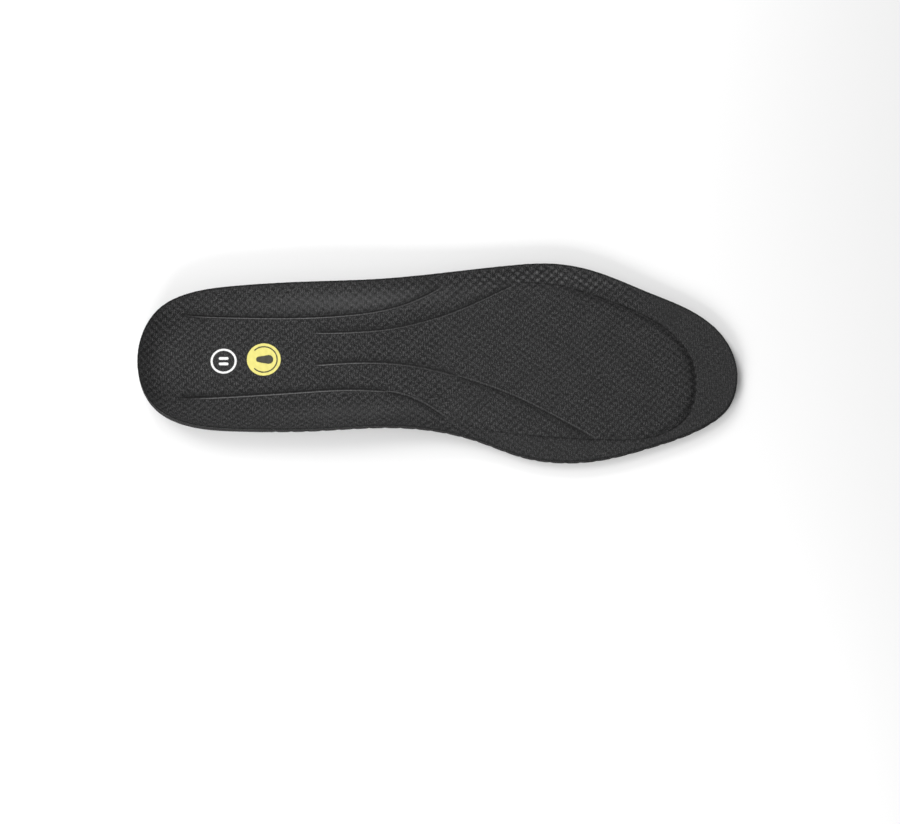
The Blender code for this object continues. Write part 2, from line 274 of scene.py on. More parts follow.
class Nearest:
    """Finds the sample of a curve that is nearest to a point."""

    def __init__(self, curve, closed):
        self.curve = curve
        self.tree = kdtree.KDTree(len(curve))
        for i, (x, y) in enumerate(curve):
            self.tree.insert((x, y, 0), i)
        self.tree.balance()
        if closed:
            self.tangent = np.roll(curve, -1, axis=0) - np.roll(curve, 1, axis=0)
        else:
            self.tangent = np.gradient(curve, axis=0)
        self.tangent /= np.linalg.norm(self.tangent, axis=1)[:, None]

    def __call__(self, points):
        """Signed distance, positive on the right of the curve's direction, and the index."""
        index = np.array([self.tree.find((x, y, 0))[1] for x, y in points])
        away = points - self.curve[index]
        tangent = self.tangent[index]
        side = tangent[:, 1] * away[:, 0] - tangent[:, 0] * away[:, 1]
        return np.sign(side) * np.linalg.norm(away, axis=1), index


def soft_noise(points, pitch, seed):
    """Smooth noise from -1 to 1 with features about as wide as the pitch."""
    random = np.random.default_rng(seed)
    total = np.zeros(len(points))
    waves = 9
    for _ in range(waves):
        angle, phase = random.uniform(0, 2 * math.pi, 2)
        rate = 2 * math.pi / (pitch * random.uniform(1.4, 3.2))
        along = points[:, 0] * math.cos(angle) + points[:, 1] * math.sin(angle)
        total += np.sin(along * rate + phase)
    return total / math.sqrt(waves)


class Insole:
    """The heights of the insole's surfaces over its plan."""

    def __init__(self):
        self.rim = even_curve(OUTLINE, OUTLINE_SAMPLES, True)
        self.near_rim = Nearest(self.rim, True)
        self.near_pad = Nearest(even_curve(PAD_BORDER, OUTLINE_SAMPLES // 2, True), True)
        self.toe_index = int(self.rim[:, 0].argmax())
        self.floor_level = table(FLOOR_LEVEL)
        self.rise = table(LATERAL_RISE), table(MEDIAL_RISE)
        self.wall = table(LATERAL_WALL), table(MEDIAL_WALL)
        self.rim_thickness = table(RIM_THICKNESS)
        self.lines = [
            (Nearest(even_curve(line, LINE_SAMPLES, False), False), side, switch_place)
            for lines, side, switch_places in (
                (LATERAL_LINES, 1, LATERAL_HIGHLIGHT_SWITCHES), (MEDIAL_LINES, -1, MEDIAL_HIGHLIGHT_SWITCHES),
            )
            for line, switch_place in zip(lines, switch_places)
        ]

    def inward(self, edge):
        """Unit vectors that point in from the rim."""
        tangent = self.near_rim.tangent[self.near_rim(edge)[1]]
        return np.column_stack([tangent[:, 1], -tangent[:, 0]])


class Place:
    """Plan points, with the height, slope and thickness of the laminate there."""

    def __init__(self, insole, points):
        self.points = points
        along = points[:, 0]
        signed, nearest = insole.near_rim(points)
        self.depth = np.abs(signed)
        self.inward = points - insole.rim[nearest]
        at = insole.rim[nearest, 0]
        lateral = nearest <= insole.toe_index
        self.rise = np.where(lateral, insole.rise[0](at), insole.rise[1](at))
        self.width = np.where(lateral, insole.wall[0](at), insole.wall[1](at))
        self.rim_thickness = insole.rim_thickness(at)
        self.pad_depth, _ = insole.near_pad(points)
        self.pad_fade = rising(along, PAD_FADE_START, PAD_FADE_END - PAD_FADE_START)
        pad = PAD_RISE * (1 - np.exp(-np.maximum(self.pad_depth, 0) / PAD_SLOPE)) * self.pad_fade
        self.floor = insole.floor_level(np.maximum(along, FLAT_FLOOR_END)) + pad
        inner = np.clip(1 - self.depth / self.width, 0, 1)
        self.top = self.floor + self.rise * inner**WALL_POWER
        self.steep = self.stretch(self.depth)
        blend = smoothstep(self.depth / self.width)
        self.thickness = self.rim_thickness + (self.floor - self.rim_thickness) * blend
        self.line_distance, self.line_weight, self.highlight_edge = self.nearest_line(insole)

    def stretch(self, depth):
        """Length of the wall's surface for each millimetre of plan, so far in from the rim."""
        inner = np.clip(1 - depth / self.width, 0, 1)
        slope = WALL_POWER * self.rise / self.width * inner ** (WALL_POWER - 1)
        return np.sqrt(1 + slope**2)

    def nearest_line(self, insole):
        """Distance to the nearest pressed line, positive on its steep side, its strength, and
        how far from it the painted highlight lies."""
        distance = np.full(len(self.points), LINE_REACH)
        weight = np.zeros(len(self.points))
        highlight = np.full(len(self.points), HIGHLIGHT_EDGE)
        for line, side, switch_place in insole.lines:
            signed, index = line(self.points)
            signed = side * signed
            length = np.linalg.norm(np.diff(line.curve, axis=0), axis=1).sum()
            run = index / (len(line.curve) - 1) * length
            fade = smoothstep(np.minimum(run, length - run) / LINE_FADE)
            closer = (np.abs(signed) < LINE_REACH) & (np.abs(signed) < np.abs(distance))
            distance = np.where(closer, signed, distance)
            weight = np.where(closer, fade, weight)
            switched = smoothstep((line.curve[index, 0] - switch_place) / HIGHLIGHT_SWITCH_LENGTH + 0.5)
            highlight = np.where(closer, HIGHLIGHT_EDGE * (2 * switched - 1), highlight)
        return distance, weight, highlight

    def cover(self):
        """Thickness of the cover, square to its surface."""
        return np.clip(COVER_SHARE * self.thickness, COVER_THIN, COVER_THICK)

    def backing(self):
        return BACKING_SHARE * self.thickness

    def below(self, depth):
        """Height of a surface that lies so deep in the laminate."""
        return self.top - depth * self.steep

    def underside(self):
        height = np.maximum(self.below(self.thickness), 0)
        return np.where(self.depth >= self.width, 0, height)

    def cloth(self):
        """Place on the flat cloth: the plan, pushed outwards by what the wall's climb takes up."""
        steps = 8
        extra = np.zeros(len(self.points))
        start = np.minimum(self.depth, self.width)
        for k in range(steps):
            at = start + (self.width - start) * (k + 0.5) / steps
            extra += (self.stretch(at) - 1) * (self.width - start) / steps
        inward = self.inward / np.maximum(self.depth, 1e-6)[:, None]
        inward[self.depth < 1e-3] = 0
        pushed = self.points - inward * extra[:, None]
        cos, sin = math.cos(KNIT_TURN), math.sin(KNIT_TURN)
        u = pushed[:, 0] * cos + pushed[:, 1] * sin
        v = -pushed[:, 0] * sin + pushed[:, 1] * cos
        return np.column_stack([u, v])

    def pressed(self):
        """0 where the knit stands at its full height, 1 where the mould has pressed it flat."""
        along, across = self.points.T
        toe = rising(along, *TOE_BAND)
        medial = FLAT_MEDIAL * rising(-across, *MEDIAL_BAND_ACROSS) * rising(along, *MEDIAL_BAND_ALONG)
        band = smoothstep(-self.pad_depth / BAND_EDGE) * np.maximum(toe, medial)
        line = FLAT_LINE * self.line_weight * bell(self.line_distance / LINE_WIDTH)
        border = FLAT_BORDER * self.pad_fade * bell(self.pad_depth / BORDER_WIDTH)
        printed = np.zeros(len(self.points))
        for centre, radius in ((SIZE_MARK, SIZE_RING_OUTER), (SYMBOL, SYMBOL_RADIUS)):
            away = np.hypot(along - centre[0], across - centre[1]) - radius
            printed = np.maximum(printed, FLAT_PRINT * (1 - smoothstep(away / PRINT_EDGE)))
        pad = FLAT_PAD * smoothstep(self.pad_depth / PAD_EDGE)
        rim = FLAT_RIM * (1 - rising(self.depth, *RIM_EDGE))
        return np.clip(np.maximum.reduce([band, line, border, printed, pad, rim]), 0, 1)

    def knit_height(self, cloth, pressed):
        """Height of the knit's bumps above the cover's mean surface."""
        wander = [soft_noise(cloth, KNIT_WANDER_PITCH, seed) for seed in (3, 4)]
        u, v = (cloth + KNIT_WANDER * np.column_stack(wander)).T
        bumps = np.cos(2 * math.pi * u / BUMP_LENGTH) * np.cos(2 * math.pi * v / BUMP_WIDTH)
        domes = ((bumps + 1) / 2) ** DOME_POWER - DOME_MEAN
        ribs = RIB_HEIGHT * np.cos(2 * math.pi * u / RIB_PITCH)
        uneven = 1 + KNIT_UNEVEN * soft_noise(cloth, KNIT_UNEVEN_PITCH, 8)
        full = domes * uneven * (1 - (1 - PRESSED_BAND) * pressed)
        return BUMP_HEIGHT * (full + ribs * PRESSED_BAND * pressed)

    def pressing(self):
        """How far the mould has pressed the lines and the pad's border in."""
        steep = np.exp(-np.maximum(self.line_distance, 0) / LINE_STEEP)
        gentle = np.exp(-np.maximum(-self.line_distance, 0) / LINE_GENTLE)
        border = bell(self.pad_depth / np.where(self.pad_depth > 0, BORDER_INSIDE, BORDER_OUTSIDE))
        return LINE_DEPTH * steep * gentle * self.line_weight + BORDER_DEPTH * border * self.pad_fade

    def cover_top(self):
        height = self.knit_height(self.cloth(), self.pressed()) - self.pressing()
        height -= EDGE_ROUND * (1 - smoothstep(self.depth / EDGE_ROUND_WIDTH))
        return self.top + height * self.steep

    def cover_bottom(self):
        return self.below(self.cover() + COVER_FOLLOWS * self.pressing())

    def backing_bottom(self):
        pressing = BACKING_FOLLOWS * self.pressing()
        return self.below(self.cover() + CAD_GAP + self.backing() + pressing)


# -------------------- meshes
class World:
    """Turns plan points and heights in millimetres into places in the frame, in metres."""

    def __init__(self, insole):
        low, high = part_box("cover_fabric")
        middle = (insole.rim.min(axis=0) + insole.rim.max(axis=0)) / 2
        self.shift = np.array([(low.x + high.x) / 2, (low.y + high.y) / 2]) - middle * MM

    def __call__(self, points, heights):
        return np.column_stack([points * MM + self.shift, np.asarray(heights) * MM])


def make_object(name, vertices, faces, look, node):
    """A piece of the visual model that stands for a CAD node."""
    mesh = bpy.data.meshes.new(name)
    mesh.from_pydata(vertices.tolist(), [], faces)
    mesh.materials.append(look)
    mesh.update()
    piece = bpy.data.objects.new(name, mesh)
    bpy.context.scene.collection.objects.link(piece)
    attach(piece, "root")
    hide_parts(node)
    return piece


def smooth_shading(piece, sharp_degrees):
    piece.data.shade_smooth()
    piece.data.set_sharp_from_angle(angle=math.radians(sharp_degrees))


def crowded(count, crowding, reach):
    """Shares from 0 to 1 that lie closer together near both ends."""
    t = np.linspace(0, 1, 2001)
    density = 1 + crowding * (bell(t / reach) + bell((1 - t) / reach))
    run = np.concatenate([[0], np.cumsum((density[1:] + density[:-1]) / 2)])
    return np.interp(np.linspace(0, run[-1], count + 1), run, t)


class Patch:
    """A grid of plan points between the rim's four stretches, with an even number of cells."""

    def __init__(self, insole, along_cells, across_cells):
        rim = insole.rim
        count = len(rim)
        heel_lateral, toe_lateral, toe_medial, heel_medial = (
            int(np.linalg.norm(rim - corner, axis=1).argmin()) for corner in CORNERS
        )

        def stretch(start, end, shares):
            run = start + (end - start) * shares
            twice = np.arange(2 * count)
            return np.column_stack([np.interp(run, twice, np.tile(rim[:, k], 2)) for k in (0, 1)])

        u = crowded(along_cells, *ALONG_CROWDING)
        v = crowded(across_cells, *ACROSS_CROWDING)
        lateral = stretch(heel_lateral, toe_lateral, u)
        medial = stretch(heel_medial, toe_medial, u)
        heel = stretch(heel_medial, heel_lateral + count, v)
        toe = stretch(toe_medial, toe_lateral, v)
        across = medial[:, None] * (1 - v)[None, :, None] + lateral[:, None] * v[None, :, None]
        along = heel[None] * (1 - u)[:, None, None] + toe[None] * u[:, None, None]
        corners = (
            np.outer(1 - u, 1 - v)[..., None] * medial[0]
            + np.outer(1 - u, v)[..., None] * lateral[0]
            + np.outer(u, 1 - v)[..., None] * medial[-1]
            + np.outer(u, v)[..., None] * lateral[-1]
        )
        self.grid = across + along - corners
        self.ids = np.arange(self.grid[..., 0].size).reshape(self.grid.shape[:2])
        self.points = self.grid.reshape(-1, 2)
        self.place = Place(insole, self.points)


def cells_of(ids):
    """The cells of a grid of vertices, and its boundary, clockwise seen from above."""
    cells = np.stack([ids[:-1, :-1], ids[1:, :-1], ids[1:, 1:], ids[:-1, 1:]], axis=-1)
    boundary = np.concatenate([ids[0, :-1], ids[:-1, -1], ids[-1, :0:-1], ids[:0:-1, 0]])
    return cells.reshape(-1, 4), boundary


def rough_side(rows, inset, roughness, pitch, seed):
    """The number of rows of a layer's side, and how far one of them stands out along the rim."""
    def bulge(edge, share):
        return roughness * soft_noise(edge, pitch, seed + int(10 * share)) - inset

    return rows, bulge


def closed_layer(insole, world, patch, fine_heights, coarse_heights, side, upside_down=False):
    """Vertices and faces of a layer with one fine face, and one face half as fine."""
    side_rows, bulge = side
    cells, boundary = cells_of(patch.ids)
    coarse = patch.ids[::2, ::2]
    edge = patch.points[boundary]
    outward = -insole.inward(edge)
    near, far = fine_heights[boundary], coarse_heights[boundary]
    blocks = [world(patch.points, fine_heights)]
    faces = cells.tolist()
    total = len(patch.points)
    upper = boundary
    for row in range(1, side_rows + 1):
        share = row / (side_rows + 1)
        moved = edge + outward * bulge(edge, share)[:, None]
        blocks.append(world(moved, near + (far - near) * share))
        lower = total + np.arange(len(edge))
        following = np.roll(np.arange(len(edge)), -1)
        faces += np.stack([upper, upper[following], lower[following], lower], axis=-1).tolist()
        total += len(edge)
        upper = lower
    blocks.append(world(patch.points[coarse.ravel()], coarse_heights[coarse.ravel()]))
    coarse_ids = total + np.arange(coarse.size).reshape(coarse.shape)
    coarse_cells, coarse_boundary = cells_of(coarse_ids)
    faces += coarse_cells[:, ::-1].tolist()
    corner, middle = upper[::2], upper[1::2]
    faces += np.stack(
        [corner, middle, np.roll(corner, -1), np.roll(coarse_boundary, -1), coarse_boundary], axis=-1
    ).tolist()
    if upside_down:
        faces = [face[::-1] for face in faces]
    return np.vstack(blocks), faces


def add_cover(insole, world, patch, look):
    place = patch.place
    cloth, pressed = place.cloth(), place.pressed()
    side = rough_side(rows=1, inset=0, roughness=0.08, pitch=1.5, seed=16)
    vertices, faces = closed_layer(insole, world, patch, place.cover_top(), place.cover_bottom(), side)
    piece = make_object("knit_cover", vertices, faces, look, "cover_fabric")
    boundary = cells_of(patch.ids)[1]
    sources = np.concatenate([patch.ids.ravel(), boundary, patch.ids[::2, ::2].ravel()])
    rows = {
        "knit": np.column_stack([cloth, pressed]),
        "line": np.column_stack([place.line_distance, place.line_weight, place.highlight_edge]),
        "pad": np.column_stack([place.pad_depth, place.pad_fade, place.depth]),
    }
    for name, values in rows.items():
        layer = piece.data.attributes.new(name, "FLOAT_VECTOR", "POINT")
        layer.data.foreach_set("vector", values[sources].ravel())
    smooth_shading(piece, 70)


def add_backing(insole, world, patch, look):
    place = patch.place
    side = rough_side(rows=2, inset=0.12, roughness=0.07, pitch=0.8, seed=31)
    vertices, faces = closed_layer(
        insole, world, patch, place.cover_bottom() - SEAM, place.backing_bottom() + SEAM, side
    )
    piece = make_object("backing_foam_layer", vertices, faces, look, "cover_foam")
    smooth_shading(piece, 60)


def flex_grooves(place):
    """Depth of the cross grooves moulded in the underside."""
    along, across = place.points.T
    bowed = along + FLEX_BOW * across**2
    phase = (bowed - FLEX_START) % FLEX_PITCH - FLEX_PITCH / 2
    groove = FLEX_DEPTH * bell(phase / FLEX_WIDTH)
    span = rising(bowed, FLEX_START, FLEX_FADE_IN) * smoothstep((FLEX_END - along) / FLEX_FADE_OUT)
    clear = np.ones(len(along))
    for (cx, cy), half_length, half_width, _ in (HEEL_CUSHION, FOREFOOT_CUSHION):
        size = (np.abs((along - cx) / (half_length + FLEX_CLEARANCE)) ** CUSHION_SQUARENESS
                + np.abs((across - cy) / (half_width + FLEX_CLEARANCE)) ** CUSHION_SQUARENESS)
        clear *= rising(size, 0.85, 0.3)
    return groove * span * clear


def cushion_outline(spec, grow, segments):
    (cx, cy), half_length, half_width, _ = spec
    angles = np.arange(segments) * 2 * math.pi / segments
    power = 2 / CUSHION_SQUARENESS
    x = np.sign(np.cos(angles)) * np.abs(np.cos(angles)) ** power
    y = np.sign(np.sin(angles)) * np.abs(np.sin(angles)) ** power
    return np.column_stack([cx + x * (half_length + grow), cy + y * (half_width + grow)])


def add_footbed(insole, world, patch, look):
    place = patch.place
    side = rough_side(rows=4, inset=0.1, roughness=0.1, pitch=1.0, seed=41)
    vertices, faces = closed_layer(
        insole, world, patch, place.underside() + flex_grooves(place), place.backing_bottom(), side,
        upside_down=True,
    )
    piece = make_object("foam_footbed", vertices, faces, look, "footbed")
    for spec in (HEEL_CUSHION, FOREFOOT_CUSHION):
        cut_pocket(piece, world, spec)
    smooth_shading(piece, 40)


def cut_pocket(piece, world, spec):
    """Cuts the pocket of a cushion out of the footbed's underside."""
    outline = cushion_outline(spec, CAD_GAP, POCKET_SEGMENTS)
    count = len(outline)
    ends = [world(outline, np.full(count, height)) for height in (-1.0, spec[3] + CAD_GAP)]
    faces = [list(range(count))[::-1], list(range(count, 2 * count))]
    faces += [[i, (i + 1) % count, (i + 1) % count + count, i + count] for i in range(count)]
    mesh = bpy.data.meshes.new("pocket")
    mesh.from_pydata(np.vstack(ends).tolist(), [], faces)
    cutter = bpy.data.objects.new("pocket", mesh)
    bpy.context.scene.collection.objects.link(cutter)
    cut = piece.modifiers.new("pocket", "BOOLEAN")
    cut.operation = "DIFFERENCE"
    cut.object = cutter
    bpy.context.view_layer.update()
    cut_piece = piece.evaluated_get(bpy.context.evaluated_depsgraph_get())
    shaped = bpy.data.meshes.new_from_object(cut_piece)
    piece.modifiers.clear()
    piece.data = shaped
    bpy.data.objects.remove(cutter)


def dimples(points, centre):
    """How near each point is to the middle of a dimple, over staggered rows of them."""
    row_pitch = DIMPLE_PITCH * 0.866
    x, y = (points - centre).T
    row = np.round(y / row_pitch)
    column = x / DIMPLE_PITCH - 0.5 * (row % 2)
    away = np.hypot((column - np.round(column)) * DIMPLE_PITCH, y - row * row_pitch)
    return smoothstep((DIMPLE_RADIUS - away) / 0.5)


def add_cushion(name, node, spec, world, look):
    """A soft insert: crowned where it meets the pocket's edge, with dimples underneath."""
    centre, half_length, half_width, depth = spec
    outline = cushion_outline(spec, 0, CUSHION_SEGMENTS)
    shares = np.sin(np.linspace(0, math.pi / 2, CUSHION_RINGS + 1))[1:]
    blocks, heights = [], []
    for share in shares:
        ring = centre + (outline - centre) * share
        edge = (1 - share) * min(half_length, half_width)
        lift = CUSHION_ROUND * bell(edge / CUSHION_ROUND_WIDTH)
        blocks.append(ring)
        heights.append(lift + DIMPLE_DEPTH * dimples(ring, centre) * rising(edge, 1.5, 0.8))
    count = len(outline)
    points = np.vstack(blocks + [[centre]])
    low = world(points, np.concatenate(heights + [[DIMPLE_DEPTH]]))
    top = world(outline, np.full(count, depth))
    middle = CUSHION_RINGS * count
    faces = []
    for i in range(count):
        j = (i + 1) % count
        faces.append([middle, j, i])
        for k in range(CUSHION_RINGS - 1):
            a, b = k * count, (k + 1) * count
            faces.append([a + i, a + j, b + j, b + i])
        outer, upper = (CUSHION_RINGS - 1) * count, middle + 1
        faces.append([outer + i, outer + j, upper + j, upper + i])
    faces.append([middle + 1 + i for i in range(count)])
    piece = make_object(name, np.vstack([low, top]), faces, look, node)
    smooth_shading(piece, 50)


# -------------------- printed marks
def add_ink(node, rows, shape, height, look, insole, world):
    """A film of ink that follows the knit. rows are lines of plan points, from the outside in.

    shape is open where the rows have two ends, ring where they close, and filled where the last
    row's two sides are joined over the middle as well.
    """
    rows = np.asarray(rows, float)
    count, width = rows.shape[:2]
    closed = shape != "open"
    points = rows.reshape(-1, 2)
    ragged = [soft_noise(points, INK_RAGGED_PITCH, seed) for seed in (51, 52)]
    place = Place(insole, points + INK_RAGGED * np.column_stack(ragged))
    top = place.cover_top() + height + INK
    vertices = np.vstack([world(place.points, top), world(place.points, top - INK)])
    under = count * width
    faces = []
    last = under - width
    pairs = [(c, (c + 1) % width) for c in range(width if closed else width - 1)]
    for a in range(0, last, width):
        b = a + width
        for c, d in pairs:
            faces.append([a + c, a + d, b + d, b + c])
            faces.append([under + b + c, under + b + d, under + a + d, under + a + c])
    for row, turn in ((0, 1), (last, -1)):
        if row and shape == "filled":
            continue
        for c, d in pairs:
            face = [row + c, under + row + c, under + row + d, row + d]
            faces.append(face[::turn])
    if shape == "filled":
        for c in range(width // 2):
            face = [c, c + 1, width - c - 1, (width - c) % width]
            face = [v for k, v in enumerate(face) if v != face[k - 1]]
            faces.append([last + v for v in face])
            faces.append([under + last + v for v in face[::-1]])
    if not closed:
        for c, turn in ((0, -1), (width - 1, 1)):
            for a in range(c, last + c, width):
                faces.append([a, under + a, under + a + width, a + width][::turn])
    piece = make_object(node.replace("print", "ink"), vertices, faces, look, node)
    smooth_shading(piece, 60)


def arc_rows(centre, inner, outer, sweep, rows, segments):
    """Rows of a ring or of a part of it, from its outer to its inner edge."""
    angles = np.radians(np.linspace(-sweep / 2, sweep / 2, segments, endpoint=sweep < 360))
    turn = np.column_stack([np.cos(angles), np.sin(angles)])
    return [np.array(centre) + radius * turn for radius in np.linspace(outer, inner, rows)]


def drop_rows(centre, reach, near_radius, far_radius, rows, segments):
    """Rows of a bar with round ends, from its outline in to its middle line."""
    lean = math.asin((far_radius - near_radius) / reach)
    outline = []
    for middle_x, radius, first, last in (
        (reach / 2, far_radius, 0, math.pi / 2 + lean),
        (-reach / 2, near_radius, math.pi / 2 + lean, 3 * math.pi / 2 - lean),
        (reach / 2, far_radius, 3 * math.pi / 2 - lean, 2 * math.pi),
    ):
        for angle in np.linspace(first, last, 30):
            outline.append((middle_x + radius * math.cos(angle), radius * math.sin(angle)))
    outline = evenly(np.array(outline), segments, False)
    middle = np.column_stack([np.clip(outline[:, 0], -reach / 2, reach / 2), np.zeros(segments)])
    shares = np.linspace(1, 0.04, rows)
    return [np.array(centre) + middle + (outline - middle) * share for share in shares]


def add_prints(insole, world):
    white = ink_look("white_ink", (0.79, 0.79, 0.785), (0.55, 0.55, 0.55))
    yellow = ink_look("yellow_ink", (0.70, 0.64, 0.18), (0.52, 0.47, 0.12))
    dark = ink_look("dark_ink", (0.045, 0.045, 0.03), (0.09, 0.088, 0.04))
    inner, outer = SIZE_RING_INNER + INK_SHORT, SIZE_RING_OUTER - INK_SHORT
    ring = arc_rows(SIZE_MARK, inner, outer, 360, rows=5, segments=160)
    add_ink("size_ring_print", ring, "ring", LOW_INK, white, insole, world)
    for number, side in ((1, -1), (2, 1)):
        centre = (SIZE_MARK[0], SIZE_MARK[1] + side * SIZE_BAR_PITCH / 2)
        radius = SIZE_BAR_WIDTH / 2
        bar = drop_rows(centre, SIZE_BAR_LENGTH - SIZE_BAR_WIDTH, radius, radius, rows=5, segments=48)
        add_ink(f"size_bar_print_{number}", bar, "filled", LOW_INK, white, insole, world)
    disc = arc_rows(SYMBOL, 0.1, SYMBOL_RADIUS - INK_SHORT, 360, rows=34, segments=160)
    add_ink("symbol_disc_print", disc, "filled", LOW_INK, yellow, insole, world)
    inner, outer = SYMBOL_RING_INNER, SYMBOL_RING_OUTER
    arc = arc_rows(SYMBOL, inner, outer, SYMBOL_RING_SWEEP, rows=4, segments=140)
    add_ink("symbol_ring_print", arc, "open", HIGH_INK, dark, insole, world)
    glyph = drop_rows(SYMBOL, GLYPH_REACH, GLYPH_HEEL, GLYPH_BALL, rows=9, segments=72)
    add_ink("symbol_glyph_print", glyph, "filled", HIGH_INK, dark, insole, world)


# -------------------- materials
class Nodes:
    """Short calls for building a material's nodes."""

    def __init__(self, name):
        self.material = bpy.data.materials.new(name)
        self.material.use_nodes = True
        self.tree = self.material.node_tree
        self.shader = self.tree.nodes["Principled BSDF"]

    def add(self, kind, **settings):
        node = self.tree.nodes.new(kind)
        for name, value in settings.items():
            setattr(node, name, value)
        return node

    def feed(self, socket, value):
        """Links a socket to another one, or sets it to a number or a colour."""
        if isinstance(value, bpy.types.NodeSocket):
            self.tree.links.new(value, socket)
        elif isinstance(value, tuple):
            socket.default_value = (*value, 1)
        else:
            socket.default_value = value

    def math(self, operation, *values):
        node = self.add("ShaderNodeMath", operation=operation)
        for socket, value in zip(node.inputs, values):
            self.feed(socket, value)
        return node.outputs[0]

    def times(self, first, *others):
        for other in others:
            first = self.math("MULTIPLY", first, other)
        return first

    def largest(self, first, *others):
        for other in others:
            first = self.math("MAXIMUM", first, other)
        return first

    def scaled(self, value, factor, offset):
        """value * factor + offset."""
        return self.math("MULTIPLY_ADD", value, factor, offset)

    def attribute(self, name):
        """The three values of a mesh's attribute."""
        node = self.add("ShaderNodeAttribute", attribute_name=name)
        split = self.add("ShaderNodeSeparateXYZ")
        self.feed(split.inputs[0], node.outputs["Vector"])
        return split.outputs

    def coordinates(self):
        """Object coordinates in millimetres."""
        node = self.add("ShaderNodeTexCoord")
        mapping = self.add("ShaderNodeMapping")
        self.feed(mapping.inputs["Vector"], node.outputs["Object"])
        mapping.inputs["Scale"].default_value = [1 / MM] * 3
        return mapping.outputs["Vector"]

    def noise(self, vector, scale, detail=2.0, roughness=0.5):
        node = self.add("ShaderNodeTexNoise")
        self.feed(node.inputs["Vector"], vector)
        node.inputs["Scale"].default_value = scale
        node.inputs["Detail"].default_value = detail
        node.inputs["Roughness"].default_value = roughness
        return node.outputs["Fac"]

    def combine(self, x, y):
        node = self.add("ShaderNodeCombineXYZ")
        self.feed(node.inputs[0], x)
        self.feed(node.inputs[1], y)
        return node.outputs[0]

    def bell(self, value, centre, width):
        """exp(-((value - centre) / width)^2)."""
        scaled = self.math("DIVIDE", self.math("SUBTRACT", value, centre), width)
        return self.math("EXPONENT", self.times(scaled, scaled, -1.0))

    def ramp(self, value, *stops):
        """A ramp through colours or, where a stop has a plain number, through greys."""
        node = self.add("ShaderNodeValToRGB")
        self.feed(node.inputs[0], value)
        ramp = node.color_ramp
        while len(ramp.elements) < len(stops):
            ramp.elements.new(0.5)
        for element, (at, color) in zip(ramp.elements, stops):
            element.position = at
            element.color = (*color, 1) if isinstance(color, tuple) else (color, color, color, 1)
        return node.outputs[0]

    def mix(self, share, first, second):
        node = self.add("ShaderNodeMix", data_type="RGBA")
        self.feed(node.inputs[0], share)
        self.feed(node.inputs[6], first)
        self.feed(node.inputs[7], second)
        return node.outputs[2]

    def bump(self, height, distance, after=None, strength=1.0):
        """A bump so many millimetres high, on top of another one."""
        node = self.add("ShaderNodeBump")
        node.inputs["Strength"].default_value = strength
        node.inputs["Distance"].default_value = distance * MM
        self.feed(node.inputs["Height"], height)
        if after:
            self.feed(node.inputs["Normal"], after)
        return node.outputs[0]

    def finish(self, color, normal, roughness, specular, sheen=0.0):
        inputs = self.shader.inputs
        self.feed(inputs["Base Color"], color)
        if normal:
            self.feed(inputs["Normal"], normal)
        self.feed(inputs["Roughness"], roughness)
        inputs["Specular IOR Level"].default_value = specular
        inputs["Sheen Weight"].default_value = sheen
        inputs["Sheen Roughness"].default_value = 0.5
        return self.material


# The pit and crease colours are painted shade, the highlight colour is painted highlight; the light yarn
# colour is both the yarn's own tone and painted highlight.
KNIT_PIT_SHADE, KNIT_CREASE_SHADE = (0.004, 0.004, 0.0043), (0.0015, 0.0015, 0.0016)
KNIT_DARK_YARN_AND_SHADE, KNIT_GROUND, KNIT_LIGHT_YARN_AND_HIGHLIGHT = (0.002, 0.002, 0.0022), (0.0195, 0.0195, 0.02), (0.086, 0.086, 0.087)
KNIT_HIGHLIGHT, KNIT_PRESSED = (0.19, 0.19, 0.192), (0.0248, 0.0248, 0.0252)
STROKE_WIDTH, STROKE_LENGTH = 0.5, 1.15
# Zones of the cover in millimetres, each the middle and the reach of a bell, along it or in from an edge: a
# painted highlight on the heel cup's walls, painted glints on the flange beside the pad, and painted shade
# at the rim, along the pad's border and down its slope.
WALL_HIGHLIGHT_ALONG, WALL_HIGHLIGHT_DEPTH = (98, 42), (8.5, 4.5)
FLANGE_ALONG, FLANGE_DEPTH = (190, 42), (6, 5)
RIM_SHADE, BORDER_SHADE, SLOPE_SHADE = (0.0, 0.6), (-0.1, 0.33), (1.2, 1.2)
# Bands of painted shade along a line: place, as a share of the painted highlight's offset, reach in
# millimetres, and strength.
CREASE_BANDS = (-0.7, 0.33, 1.0), (-2.2, 1.1, 0.4), (1.9, 0.3, 0.45)
# The painted highlight along a line's edge: its reach, and how bright it is at places along a span of the
# insole.
HIGHLIGHT_REACH, HIGHLIGHT_SPAN = 0.18, 150
HIGHLIGHT_ALONG = (22, 0.0), (33, 0.95), (82, 0.9), (122, 0.16)


